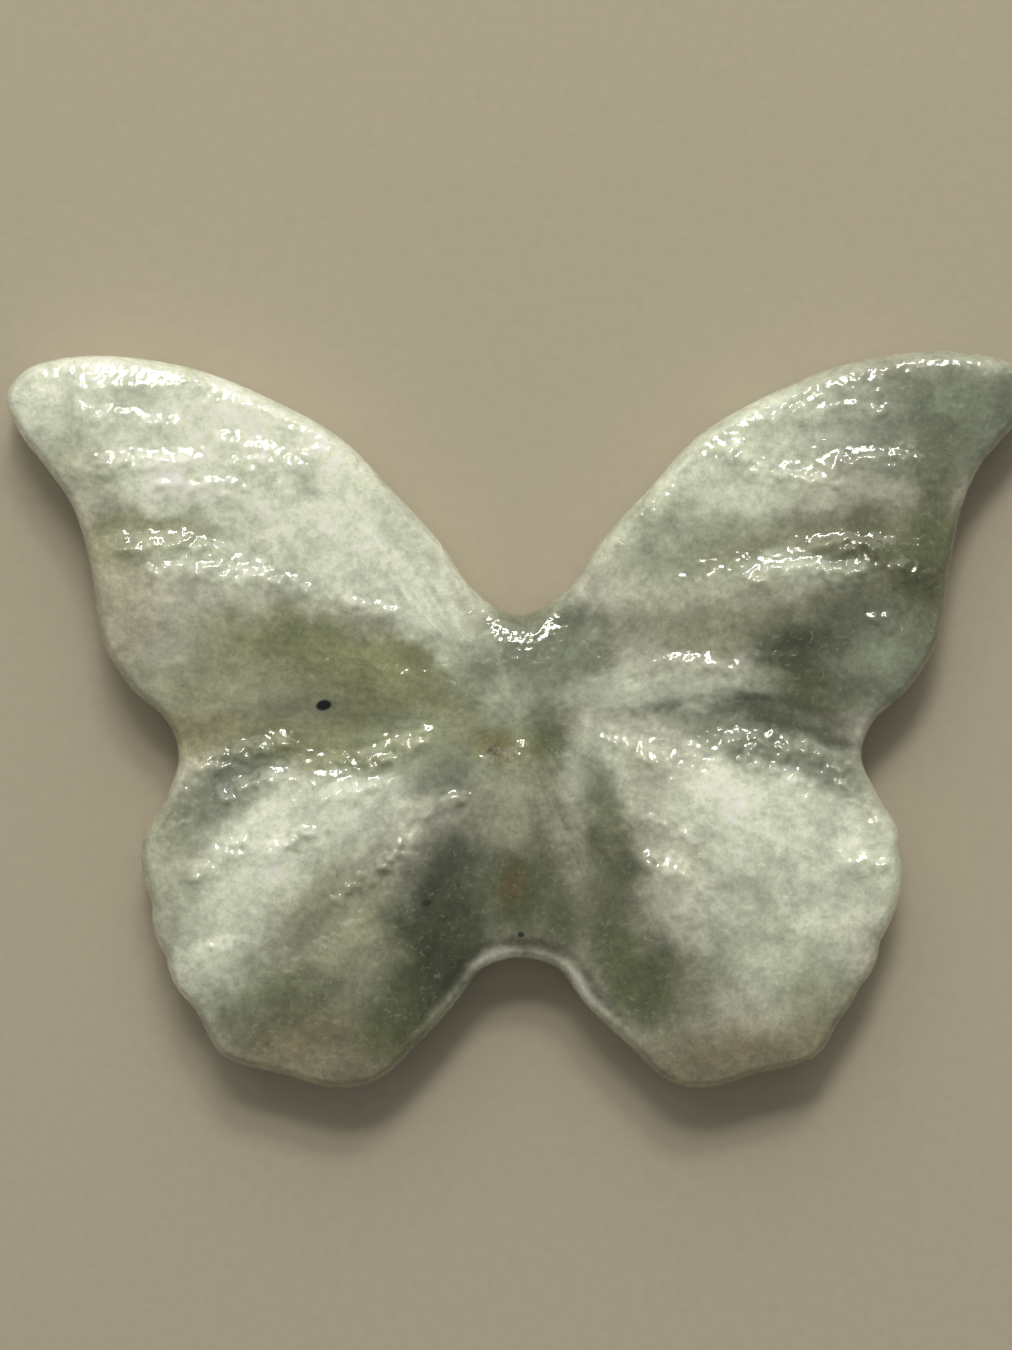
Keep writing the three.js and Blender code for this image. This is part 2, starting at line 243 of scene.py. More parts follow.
# Clouds in the stone, in the order they lie over each other: tint, centre in millimetres,
# half length and half width in millimetres, turn in degrees and strength. Some of them also carry
# painted shade, painted light on crests and a painted reflection, as marked.
CLOUDS = {
    "left front frost": ("snow", (-9.0, 9.2), (10.4, 3.5), -32, 0.95),
    "left front tip": ("snow", (-15.8, 10.8), (2.8, 2.2), 0, 0.9),
    "left tip rear": ("frost", (-16.4, 10.0), (1.4, 0.9), -42, 0.5),
    "left fourth row": ("snow", (-12.3, 8.2), (2.6, 1.2), -8, 0.8),
    "left rear edge": ("sage", (-15.1, 8.8), (1.7, 1.2), -50, 0.6),
    "left hollow": ("olive", (-12.6, 6.2), (2.3, 0.7), 4, 0.8),
    "left ridge": ("frost", (-9.7, 5.2), (3.2, 0.8), -12, 0.7),
    "left margin": ("khaki", (-14.2, 4.4), (1.5, 2.6), 0, 0.45),
    "left field": ("olive", (-6.4, 2.5), (4.8, 1.2), -10, 0.95),
    "left field behind": ("olive", (-8.6, 1.4), (5.4, 1.4), 4, 0.7),
    # Painted shade in the trough between the wings, laid over the stone's own tan.
    "left trough tan and painted shade": ("khaki", (-10.6, -0.6), (2.9, 0.9), -10, 0.8),
    "left root": ("olive", (-4.0, 0.0), (3.4, 1.6), 0, 0.9),
    "left costa root": ("snow", (-3.3, 3.5), (1.8, 0.75), -48, 0.75),
    "left lip": ("lichen", (-10.2, -2.6), (3.0, 1.2), 36, 0.85),
    # The stone's pale cloud on the lower wing's crest, brightened further as painted light on the crest.
    "left lower frost and painted crest light": ("snow", (-7.3, -3.9), (4.6, 1.9), 34, 1.0),
    "left lower root": ("lichen", (-2.6, -2.0), (1.6, 0.9), 20, 0.85),
    "left lower pale": ("frost", (-10.8, -7.2), (2.2, 3.0), 0, 0.8),
    "left hind fold": ("olive", (-6.2, -0.9), (3.2, 0.8), -6, 0.75),
    "left lower margin": ("sage", (-12.4, -4.8), (1.2, 2.6), 0, 0.5),
    "left inner lobe": ("sage", (-5.8, -7.6), (3.2, 2.4), 44, 0.95),
    "left lower shade": ("moss", (-8.8, -10.0), (2.4, 1.9), 10, 0.8),
    # The stone's own brown along the bottom margin, together with a painted brown reflection.
    "left bottom brown and painted reflection": ("umber", (-6.2, -11.9), (3.8, 1.8), 4, 0.75),
    "left inner slate": ("slate", (-2.5, -6.2), (1.5, 3.0), -18, 0.95),
    "left inner moss": ("moss", (-4.0, -9.8), (1.4, 2.6), -32, 0.95),
    "left notch dark": ("slate", (-2.8, -8.2), (1.2, 1.7), -30, 0.95),
    "head shade": ("moss", (0.8, 3.2), (2.2, 1.2), -20, 0.8),
    "head": ("lichen", (-0.3, 1.6), (1.9, 1.4), 0, 0.85),
    "thorax": ("celadon", (0.1, 0.7), (1.2, 0.9), 0, 0.75),
    "waist": ("olive", (0.0, -0.9), (1.8, 0.9), 0, 0.9),
    "waist rust": ("umber", (-0.8, -0.95), (0.6, 0.6), 0, 0.6),
    "beside the thorax": ("moss", (1.1, -0.3), (0.7, 1.7), 8, 0.65),
    "tail root": ("sage", (-0.1, -2.8), (1.7, 1.4), 0, 0.8),
    "tail": ("moss", (-0.2, -5.8), (1.2, 1.7), 0, 0.95),
    "tail flank": ("moss", (1.2, -5.8), (0.9, 2.6), 4, 0.85),
    "tail rust": ("rust", (-0.2, -5.7), (0.6, 0.7), 0, 0.6),
    "tail end": ("moss", (0.0, -7.4), (2.2, 0.9), 0, 0.6),
    "right root": ("lichen", (2.0, 2.2), (1.1, 2.0), 20, 0.85),
    "right shoulder": ("celadon", (6.2, 7.4), (3.4, 2.4), 40, 0.9),
    "right front frost": ("frost", (7.9, 10.2), (3.2, 1.0), 34, 0.95),
    "right front shade": ("lichen", (13.8, 10.4), (4.0, 2.2), 4, 0.9),
    "right front streak": ("frost", (9.6, 10.4), (3.2, 1.2), 8, 0.7),
    "right tip": ("lichen", (15.6, 10.9), (2.8, 2.1), 0, 0.95),
    "right middle": ("sage", (9.8, 6.1), (5.0, 1.1), 7, 0.9),
    "right middle streak": ("frost", (7.9, 8.2), (3.0, 1.1), 2, 0.7),
    "right outer shade": ("moss", (12.5, 4.9), (2.5, 2.2), 0, 0.75),
    "right streak": ("frost", (9.2, 5.1), (2.2, 0.6), 8, 0.75),
    "right field": ("sage", (7.4, 3.4), (3.6, 1.1), 4, 0.9),
    "right blotch": ("slate", (10.5, 2.3), (2.6, 1.6), 14, 0.95),
    # Dark stone, together with painted shade on the upper side of the trough between the wings.
    "right hind blotch and painted trough shade": ("moss", (10.4, 0.9), (2.3, 0.8), -4, 0.8),
    # Dark stone, together with painted shade along the rounded outer edge of the upper wing.
    "right margin moss and painted edge shade": ("moss", (14.3, 5.0), (1.2, 4.6), -8, 0.85),
    "right hind field": ("lichen", (12.9, 2.0), (1.8, 1.8), -30, 0.9),
    "right band": ("frost", (5.3, 1.0), (3.2, 0.95), 0, 0.95),
    # Painted shade in the trough between the wings, laid over the stone's own dark.
    "right trough slate and painted shade": ("slate", (8.8, -0.2), (3.2, 0.8), -12, 0.95),
    "right lower root": ("sage", (3.9, -1.4), (1.8, 0.8), -16, 0.5),
    # The stone's pale cloud on the lower wing's crest, brightened further as painted light on the crest.
    "right lower frost and painted crest light": ("snow", (9.2, -3.9), (4.6, 2.5), -28, 1.0),
    "right lower pale": ("frost", (9.7, -5.6), (1.8, 2.2), 0, 0.5),
    "right hind fold": ("lichen", (8.6, -1.1), (4.4, 0.7), -20, 0.8),
    "right waist": ("snow", (2.7, -1.7), (1.15, 1.5), 0, 0.9),
    "right lower field": ("frost", (8.6, -7.2), (2.6, 1.6), -30, 0.8),
    "right inner moss": ("moss", (3.2, -3.9), (1.1, 2.8), 14, 0.85),
    "right lobe edge": ("celadon", (12.6, -4.8), (0.9, 1.6), 0, 0.6),
    "right low blotch": ("moss", (5.8, -9.0), (1.5, 1.5), 0, 0.7),
    "right low pale": ("celadon", (9.3, -8.6), (2.6, 1.7), -30, 0.7),
    "right low margin": ("sage", (10.8, -10.2), (1.6, 1.3), -30, 0.7),
    "right notch shade": ("moss", (3.8, -8.4), (1.4, 3.2), 26, 0.95),
    # The stone's own brown along the bottom margin, together with a painted brown reflection.
    "right low brown and painted reflection": ("umber", (7.8, -12.0), (4.4, 1.5), 8, 0.8),
}

# Dark specks in the stone, laid out as the clouds are.
SPECKS = {
    "wing": ("black", (-6.83, 0.53), (0.27, 0.18), 12, 1.0),
    "flank": ("black", (-3.25, -6.35), (0.17, 0.12), 0, 0.6),
    "waist": ("black", (-0.95, -1.05), (0.2, 0.16), 20, 0.45),
    "notch": ("black", (0.03, -7.45), (0.12, 0.1), 0, 0.8),
}

# How soft the edges of clouds and specks are, by shares of their half sizes.
CLOUD_SOFTNESS = 0.6
SPECK_SOFTNESS = 0.25

# Noises that stir the clouds' edges: the size of each and how far it pushes, in millimetres.
STIRS = {"Broad Stir": (4.2, 2.2), "Fine Stir": (1.1, 1.0), "Felt Stir": (0.35, 0.45)}
STIR_DETAIL, STIR_ROUGHNESS = 3.0, 0.6

# Middle of a noise, where it neither stirs nor tints.
NOISE_MIDDLE = 0.5

# Grain of the stone: its size in millimetres, and for each of its noises how many times finer it is,
# how many finer layers it has, how strong these are, and its distortion.
GRAIN = 0.9
GRAIN_NOISES = {
    "Mottle": (1.0, 6.0, 0.62, 0.0),
    "Felt": (3.2, 6.0, 0.85, 0.0),
    "Fleck": (4.5, 1.0, 0.5, 0.8),
    "Wisp": (0.45, 5.0, 0.65, 0.3),
    "Streak": (1.3, 4.0, 0.6, 0.4),
}
FLECK_EDGE = (0.6, 0.74)
FLECK_STRENGTH = 0.12

# Streaks fan out from the middle: millimetres for a radian of the fan, shares of the way out and of the way
# to the side, and the distances in millimetres between which they fade in.
FAN_TURN = 8
FAN_REACH, FAN_SIDE = 0.3, 0.25
FAN_FADE = (1.5, 6.0)

# What the grain does to the stone's lightness: the low and high of each mask, the lightness at them,
# and how it runs from one to the other.
MOTTLE_RANGE = (0.3, 0.7)
LIGHTNESS = {
    "Mottle": (MOTTLE_RANGE, (0.88, 1.12), "LINEAR"),
    "Felt": ((0.3, 0.7), (0.74, 1.26), "LINEAR"),
    "Wisp": ((0.35, 0.62), (0.86, 1.12), "SMOOTHSTEP"),
    "Streak": ((0.32, 0.68), (0.86, 1.14), "LINEAR"),
}

# The polish: shares of its roughness over the mottling, and strength of the pebbling over the wisps.
ROUGHNESS_SHARES = (0.8, 1.3)
PEBBLED_WISPS, PEBBLING = (0.36, 0.6), (0.6, 1.0)

# How light bends and spreads in jade.
JADE_IOR = 1.62
INNER_LIGHT = 0.7
INNER_REACH = (1.0, 1.0, 0.8)

# The floor: its side in metres, the gap under the pendant and the size of its tooth in millimetres, and the
# lightness that the tooth gives it.
FLOOR_SIDE = 3
FLOOR_GAP = 0.02
FLOOR_TOOTH = 0.4
FLOOR_LIGHTNESS = (0.94, 1.06)
FLOOR_ROUGHNESS = 0.8

# The broad lamp and the small lamps that make the beads of light: sizes and places in millimetres.
LAMP_TINT = (1.0, 0.975, 0.905)
KEY_SIZE, KEY_PLACE = (700, 500), (-60, 420, 330)
SPARK_SIZE = (80, 44)
SPARK_LAMPS = {
    "spark_high": (-20, 190, 293),
    "spark_low": (20, 238, 258),
}
DAYLIGHT_TINT = (0.9, 0.9, 0.86, 1)

# The camera looks straight down: its place over the pendant, its sensor and the nearest that it sees, in
# millimetres.
CAMERA_PLACE = (-0.49, 1.58)
SENSOR = 36
NEAREST_SEEN = 10


def linear(tint):
    """Linear colour of a tint given the way a screen shows it, with its alpha."""
    return tuple(c / 12.92 if c <= 0.04045 else ((c + 0.055) / 1.055) ** 2.4 for c in tint) + (1.0,)


def length(name, description, millimetres):
    """A length property, given in millimetres and kept in metres."""
    return FloatProperty(
        name=name, description=description, default=millimetres * MM,
        unit="LENGTH", subtype="DISTANCE", precision=5,
    )


def share(name, description, default):
    return FloatProperty(
        name=name, description=description, default=default, min=0, max=1, subtype="FACTOR",
    )


def colour(name, description, default):
    return FloatVectorProperty(
        name=name, description=description, default=default, min=0, max=1, subtype="COLOR",
    )


def power(name, description, watts):
    return FloatProperty(name=name, description=description, default=watts, unit="POWER")


class CarvingSizes(bpy.types.PropertyGroup):
    """Sizes of the carved form, which are those of the solid it stands for."""

    flank_top: length("Flank Top", "Height at which the rim starts to roll over into the face", 2.2)
    edge_roll: length("Edge Roll", "How far in from the rim the rolled edge reaches", 0.6)
    edge_rise: length("Edge Rise", "How much the rolled edge climbs", 1.0)
    crown_reach: length("Crown Reach", "How far in from the rim the wing's crown lies", 5.0)
    crown_rise: length("Crown Rise", "How much the wing climbs from its rolled edge to its crown", 0.12)
    back_round: length("Back Round", "Rounding where the rim meets the back", 0.45)
    polish_wave: length("Polish Wave", "Height of the soft waves that hand polishing left", 0.012)
    polish_row: length("Polish Row", "Height of the low rows along which the wings were rubbed down", 0.015)
    face_step: length("Face Step", "Side of the even triangles that cover the face", 0.09)
    back_step: length("Back Step", "Side of the even triangles that cover the back", 0.6)
    rim_steps: IntProperty(name="Rim Steps", description="Even steps round the rim", default=960, min=240)


class JadeLook(bpy.types.PropertyGroup):
    """Colour and finish of the stone."""

    ground: colour("Ground", "Colour of the stone between its clouds", (0.59, 0.58, 0.475))
    roughness: share("Roughness", "Roughness of the polish", 0.07)
    clarity: length("Clarity", "How far light travels inside the stone", 0.9)
    pebble: length("Pebble", "Size of the pebbling of the polished skin", 0.26)
    pebble_depth: length("Pebble Depth", "Depth of the pebbling of the polished skin", 0.042)


class StudioLook(bpy.types.PropertyGroup):
    """Camera, floor and lamps."""

    lens: FloatProperty(name="Lens", description="Focal length", default=101.07, unit="CAMERA")
    camera_height: length("Camera Height", "Height of the camera over the floor", 135.05)
    floor: colour("Floor", "Colour of the floor", linear((0.71, 0.671, 0.59))[:3])
    key_power: power("Key Power", "Power of the broad lamp", 1.24)
    spark_power: power("Spark Power", "Power of each small lamp", 0.27)
    daylight: share("Daylight", "Strength of the even light from all round", 0.28)


def smoothstep(value, low, high):
    t = np.clip((value - low) / (high - low), 0, 1)
    return t * t * (3 - 2 * t)


def bell(u):
    return np.exp(-u * u)


def distance_to_ring(points, ring):
    """Distance in plan from each point to a ring of points."""
    nearest = np.full(len(points), np.inf)
    for start, step in zip(ring, np.roll(ring, -1, axis=0) - ring):
        offset = points - start
        along = np.clip(offset @ step / (step @ step), 0, 1)
        gap = offset - along[:, None] * step
        nearest = np.minimum(nearest, np.einsum("ij,ij->i", gap, gap))
    return np.sqrt(nearest)


def closed_curve(anchors, samples=48):
    """Closed centripetal Catmull-Rom curve through the anchors."""
    p0, p1, p2, p3 = (np.roll(anchors, shift, axis=0) for shift in (1, 0, -1, -2))
    chords = (p1 - p0, p2 - p1, p3 - p2)
    before, here, after = (np.linalg.norm(chord, axis=1)[:, None] ** 0.5 for chord in chords)
    leave = ((p1 - p0) / before - (p2 - p0) / (before + here) + (p2 - p1) / here) * here
    arrive = ((p2 - p1) / here - (p3 - p1) / (here + after) + (p3 - p2) / after) * here
    t = (np.arange(samples) / samples)[None, :, None]
    start, leave, end, arrive = (v[:, None, :] for v in (p1, leave, p2, arrive))
    bend = -3 * start + 3 * end - 2 * leave - arrive
    turn = 2 * start - 2 * end + leave + arrive
    return (start + leave * t + bend * t**2 + turn * t**3).reshape(-1, 2)


def even_steps(line, count):
    """Points spaced evenly round a closed line, and the direction to its inside at each."""
    loop = np.vstack([line, line[:1]])
    travelled = np.concatenate([[0], np.cumsum(np.linalg.norm(np.diff(loop, axis=0), axis=1))])
    stations = np.arange(count) / count * travelled[-1]
    points = np.stack([np.interp(stations, travelled, loop[:, axis]) for axis in (0, 1)], axis=1)
    along = np.roll(points, -1, axis=0) - np.roll(points, 1, axis=0)
    inward = np.stack([-along[:, 1], along[:, 0]], axis=1)
    return points, inward / np.linalg.norm(inward, axis=1)[:, None]


def rim_anchors():
    right = [TAIL_NOTCH, *LOWER_WING, *UPPER_WING, HEAD_NOTCH]
    left = []
    for anchor in reversed(right[1:-1]):
        x, y = anchor[:2]
        outwards = smoothstep(x, DROP_START[0], DROP_FULL[0])
        forwards = smoothstep(y, DROP_START[1], DROP_FULL[1])
        left.append((-anchor[-1] if len(anchor) == 3 else -x, y - COSTA_DROP * outwards * forwards))
    return np.array([anchor[:2] for anchor in right] + left) * MM


def scallop(points):
    """Outward swell of each lobe between two cusps of the lower wings' margins."""
    x, y = points[:, 0] / MM, points[:, 1] / MM
    swell = np.zeros(len(points))
    for side, outward in (("right", x), ("left", -x)):
        for upper, lower in zip(MARGIN_CUSPS[side], MARGIN_CUSPS[side][1:]):
            lobe = (outward > MARGIN_START) & (y < upper) & (y > lower)
            along = (upper - y[lobe]) / (upper - lower)
            swell[lobe] = LOBE_SWELL * (upper - lower) * MM * np.sin(np.pi * along)
    return swell


def stroke_line(start, bend, end, steps=24):
    t = np.linspace(0, 1, steps + 1)[:, None]
    start, bend, end = (np.array(place) * MM for place in (start, bend, end))
    return (1 - t) ** 2 * start + 2 * t * (1 - t) * bend + t**2 * end


def offset_from_line(points, line):
    """The way in plan from the nearest place on an open line to each point."""
    offsets = np.full(points.shape, np.inf)
    nearest = np.full(len(points), np.inf)
    for start, step in zip(line, np.diff(line, axis=0)):
        offset = points - start
        along = np.clip(offset @ step / (step @ step), 0, 1)
        offset -= along[:, None] * step
        gap = np.einsum("ij,ij->i", offset, offset)
        closer = gap < nearest
        offsets[closer] = offset[closer]
        nearest[closer] = gap[closer]
    return offsets


def stroke(points, line, front, rear):
    """Swell of height one along a line, as wide towards the head and towards the tail as told."""
    offset = offset_from_line(points, line)
    gap = np.linalg.norm(offset, axis=1)
    facing = offset[:, 1] / np.maximum(gap, LEAST_GAP)
    width = ((front + rear) / 2 + (front - rear) / 2 * facing) * MM
    return bell(gap / width)


def stroke_relief(points, strokes):
    height = np.zeros(len(points))
    for start, bend, end, rise, front, rear in strokes.values():
        height += rise * MM * stroke(points, stroke_line(start, bend, end), front, rear)
    return height


def wing_relief(points):
    left = points[:, 0] < 0
    mirrored = np.stack([np.abs(points[:, 0]), points[:, 1]], axis=1)
    height = np.zeros(len(points))
    height[left] = stroke_relief(mirrored[left], LEFT_STROKES)
    height[~left] = stroke_relief(mirrored[~left], RIGHT_STROKES)
    return height


def noise_at(points, size, use):
    """Noise at each point, as long and wide in millimetres as told, in its own slice."""
    places = points / (np.array(size) * MM)
    return np.array([noise.noise(Vector((x, y, SLICES[use]))) for x, y in places])


def fine_relief(points):
    """Short low rows, broken into beads."""
    height = np.zeros(len(points))
    reach = FINE_ROW_FADED * FINE_ROW_REAR * MM
    for start, bend, end, rise in FINE_ROWS:
        line = stroke_line(start, bend, end, FINE_ROW_STEPS)
        low, high = line.min(axis=0) - reach, line.max(axis=0) + reach
        near = np.all((points > low) & (points < high), axis=1)
        height[near] += rise * MM * stroke(points[near], line, FINE_ROW_FRONT, FINE_ROW_REAR)
    raised = height > 0
    height[raised] *= 1 + BEADING * noise_at(points[raised], (BEAD, BEAD), "bead")
    return height


def dome(points, centre, half, rise):
    u = np.linalg.norm((points - np.array(centre) * MM) / (np.array(half) * MM), axis=1)
    return rise * MM * (1 - smoothstep(u, DOME_TOP, DOME_FOOT))


def body_relief(points):
    x, y = points[:, 0] / MM, points[:, 1] / MM
    span = (TAIL["end"], TAIL["root"])
    width = np.interp(y, span, (TAIL["end_width"], TAIL["root_width"]))
    rise = np.interp(y, span, (TAIL["end_rise"], TAIL["root_rise"]))
    root_share = 1 - smoothstep(y, TAIL["root"] + ROOT_FADE[1], TAIL["root"] + ROOT_FADE[0])
    end_share = smoothstep(y, TAIL["end"] + END_FADE[0], TAIL["end"] + END_FADE[1])
    height = rise * MM * root_share * end_share * bell(x / width)
    height += np.maximum(dome(points, **THORAX), dome(points, **HEAD))
    for pit in WAIST_PITS:
        gap = np.linalg.norm(points - np.array(pit["centre"]) * MM, axis=1)
        height += pit["rise"] * MM * bell(gap / (pit["size"] * MM))
    return height


def notch_bevel(points, inset):
    """Bevel cut along the tail notch."""
    bevel = {name: size * MM for name, size in NOTCH_BEVEL.items()}
    beside = 1 - smoothstep(np.abs(points[:, 0]), bevel["full_reach"], bevel["reach"])
    near_rim = 1 - smoothstep(inset, bevel["flat"], bevel["width"])
    return np.where(points[:, 1] > TAIL["root"] * MM, 0, -bevel["depth"] * beside * near_rim)


def polish_waves(points, wave):
    """Soft unevenness that hand polishing leaves in the face, at two scales."""
    broad = noise_at(points, (BROAD_WAVE, BROAD_WAVE), "broad wave")
    fine = noise_at(points, (FINE_WAVE, FINE_WAVE), "fine wave")
    return wave * (BROAD_SHARE * broad + (1 - BROAD_SHARE) * fine)


def polish_rows(points, height):
    """Low uneven rows along which the wings were rubbed down, strongest towards the front."""
    rows = noise_at(points, (ROW_LENGTH, ROW_WIDTH), "row")
    front_share = smoothstep(points[:, 1], ROW_REAR * MM, ROW_FRONT * MM)
    return height * rows * (ROW_SHARE_REAR + (1 - ROW_SHARE_REAR) * front_share)


def even_net(ring, step):
    """Points of an even triangular grid inside a ring, and the triangles over them and the ring."""
    low, high = ring.min(axis=0), ring.max(axis=0)
    row_step = step * math.sqrt(3) / 2
    rows = np.arange(low[1], high[1], row_step)
    columns = np.arange(low[0], high[0], step)
    x, y = np.meshgrid(columns, rows)
    x = x + (np.arange(len(rows)) % 2)[:, None] * step / 2
    grid = np.stack([x.ravel(), y.ravel()], axis=1)
    grid = grid[inside_ring(grid, ring)]
    grid = grid[distance_to_ring(grid, ring) > NET_CLEARANCE * step]
    points = np.vstack([ring, grid])
    sides = [(i, (i + 1) % len(ring)) for i in range(len(ring))]
    places = [Vector(point) for point in points / MM]
    triangles = np.array(delaunay_2d_cdt(places, sides, [], 0, MERGE_GAP, False)[2])
    return grid, triangles[inside_ring(points[triangles].mean(axis=1), ring)]


def inside_ring(points, ring):
    inside = np.zeros(len(points), bool)
    for (ax, ay), (bx, by) in zip(ring, np.roll(ring, -1, axis=0)):
        if ay == by:
            continue
        crossed = (ay > points[:, 1]) != (by > points[:, 1])
        inside ^= crossed & (points[:, 0] < (bx - ax) * (points[:, 1] - ay) / (by - ay) + ax)
    return inside


def evened(values, triangles, held, rounds):
    """Values drawn towards their neighbours' mean, which rounds the creases where slopes meet."""
    sides = np.vstack([triangles[:, [0, 1]], triangles[:, [1, 2]], triangles[:, [2, 0]]])
    ends = np.unique(np.vstack([sides, sides[:, ::-1]]), axis=0)
    count = np.bincount(ends[:, 0], minlength=len(values))
    for _ in range(rounds):
        total = np.bincount(ends[:, 0], weights=values[ends[:, 1]], minlength=len(values))
        values = np.where(held, values, (values + total / count) / 2)
    return values


def carved_mesh(sizes):
    """The whole skin: back, rounded lower edge, flank, rolled edge and carved face."""
    smooth_rim, inward = even_steps(closed_curve(rim_anchors()), sizes.rim_steps)
    rim = smooth_rim - inward * scallop(smooth_rim)[:, None]

    def inset_ring(distance):
        return rim + inward * distance

    def bare_height(points):
        inset = distance_to_ring(points, rim)
        roll = 1 - np.clip(inset / sizes.edge_roll, 0, 1)
        crown = 1 - np.clip(inset / sizes.crown_reach, 0, 1)
        rolled = sizes.edge_rise * np.sqrt(1 - roll**2)
        return sizes.flank_top + rolled + sizes.crown_rise * (1 - crown**2), inset

    def relief(points, inset):
        cut = wing_relief(points) + fine_relief(points) + body_relief(points)
        cut += notch_bevel(points, inset)
        cut += polish_waves(points, sizes.polish_wave) + polish_rows(points, sizes.polish_row)
        return smoothstep(inset, 0, sizes.edge_roll) * cut

    rings = []
    for turn in np.linspace(0, math.pi / 2, BACK_RINGS):
        inset = sizes.back_round * (1 - math.sin(turn))
        height = sizes.back_round * (1 - math.cos(turn))
        rings.append((inset_ring(inset), np.full(sizes.rim_steps, height)))
    for height in np.linspace(sizes.back_round, sizes.flank_top, FLANK_RINGS)[1:]:
        rings.append((rim, np.full(sizes.rim_steps, height)))
    for inset in sizes.edge_roll * np.array(EDGE_INSETS):
        plan = inset_ring(inset)
        base, depth = bare_height(plan)
        rings.append((plan, base + relief(plan, depth)))

    face_ring = rings[-1][0]
    face_points, face_triangles = even_net(face_ring, sizes.face_step)
    plan = np.vstack([face_ring, face_points])
    base, depth = bare_height(plan)
    held = np.arange(len(plan)) < len(face_ring)
    base = evened(base, face_triangles, held, EVENING_ROUNDS)
    face_height = (base + relief(plan, depth))[len(face_ring):]

    back_points, back_triangles = even_net(rings[0][0], sizes.back_step)

    count = sizes.rim_steps
    first_face = (len(rings) - 1) * count
    first_back = first_face + count + len(face_points)
    vertices = [np.column_stack([plan, height]) for plan, height in rings]
    vertices.append(np.column_stack([face_points, face_height]))
    vertices.append(np.column_stack([back_points, np.zeros(len(back_points))]))
    faces = []
    for ring in range(len(rings) - 1):
        here = ring * count + np.arange(count)
        after = ring * count + (np.arange(count) + 1) % count
        faces += np.column_stack([here, after, after + count, here + count]).tolist()
    faces += (face_triangles + first_face).tolist()
    back = np.where(back_triangles < count, back_triangles, back_triangles - count + first_back)
    faces += back[:, ::-1].tolist()

    mesh = bpy.data.meshes.new("carved_butterfly")
    mesh.from_pydata(np.vstack(vertices).tolist(), [], faces)
    mesh.validate()
    mesh.shade_smooth()
    return mesh


def add(tree, kind, inputs=None, **settings):
    """A new shader node; each input takes a plain value or the socket that feeds it."""
    made = tree.nodes.new(kind)
    for name, value in settings.items():
        setattr(made, name, value)
    for key, value in (inputs or {}).items():
        if isinstance(value, bpy.types.NodeSocket):
            tree.links.new(value, made.inputs[key])
        else:
            made.inputs[key].default_value = value
    return made


def maths(tree, operation, first, second=0.0):
    return add(tree, "ShaderNodeMath", {0: first, 1: second}, operation=operation).outputs[0]


def vector_maths(tree, operation, first, second=(0, 0, 0)):
    return add(tree, "ShaderNodeVectorMath", {0: first, 1: second}, operation=operation)


def scaled(tree, vector, factor):
    return add(tree, "ShaderNodeVectorMath", {0: vector, "Scale": factor}, operation="SCALE").outputs[0]


def ranged(tree, value, given, wanted=(0.0, 1.0), run="LINEAR"):
    """A value brought from the range that it is given in to the range that is wanted."""
    return add(tree, "ShaderNodeMapRange", {
        "Value": value, "From Min": given[0], "From Max": given[1], "To Min": wanted[0], "To Max": wanted[1],
    }, interpolation_type=run).outputs[0]


def laid_over(tree, under, over, strength):
    return add(tree, "ShaderNodeMix", {0: strength, 6: under, 7: over}, data_type="RGBA").outputs[2]


def noise_texture(tree, place, rate, detail, roughness=0.5, distortion=0.0):
    return add(tree, "ShaderNodeTexNoise", {
        "Vector": place, "Scale": rate, "Detail": detail, "Roughness": roughness, "Distortion": distortion,
    })


def new_group(name, takes, gives):
    """An empty node group with named sockets, and its input and output nodes."""
    tree = bpy.data.node_groups.new(name, "ShaderNodeTree")
    for direction, sockets in (("INPUT", takes), ("OUTPUT", gives)):
        for socket, kind in sockets.items():
            tree.interface.new_socket(socket, in_out=direction, socket_type="NodeSocket" + kind)
    return tree, tree.nodes.new("NodeGroupInput"), tree.nodes.new("NodeGroupOutput")


def cloud_group():
    """One soft-edged cloud of a tint, laid over the colour beneath it."""
    takes = {
        "Under": "Color", "Tint": "Color", "Place": "Vector", "Centre": "Vector",
        "Along": "Vector", "Across": "Vector", "Softness": "Float", "Strength": "Float",
    }
    tree, given, result = new_group("Stone Cloud", takes, {"Colour": "Color"})
    offset = vector_maths(tree, "SUBTRACT", given.outputs["Place"], given.outputs["Centre"]).outputs[0]
    local = add(tree, "ShaderNodeCombineXYZ", {
        "X": vector_maths(tree, "DOT_PRODUCT", offset, given.outputs["Along"]).outputs["Value"],
        "Y": vector_maths(tree, "DOT_PRODUCT", offset, given.outputs["Across"]).outputs["Value"],
    })
    radius = vector_maths(tree, "LENGTH", local.outputs[0]).outputs["Value"]
    softness = given.outputs["Softness"]
    edge = (maths(tree, "ADD", 1.0, softness), maths(tree, "SUBTRACT", 1.0, softness))
    mask = ranged(tree, radius, edge, (0.0, given.outputs["Strength"]), "SMOOTHSTEP")
    cloudy = laid_over(tree, given.outputs["Under"], given.outputs["Tint"], mask)
    tree.links.new(cloudy, result.inputs[0])
    return tree


def cloud_spread(centre, half, turn):
    """A cloud's centre, and the ways along and across it, each divided by its half size."""
    turn = math.radians(turn)
    return {
        "Centre": (centre[0] * MM, centre[1] * MM, 0),
        "Along": (math.cos(turn) / (half[0] * MM), math.sin(turn) / (half[0] * MM), 0),
        "Across": (-math.sin(turn) / (half[1] * MM), math.cos(turn) / (half[1] * MM), 0),
    }


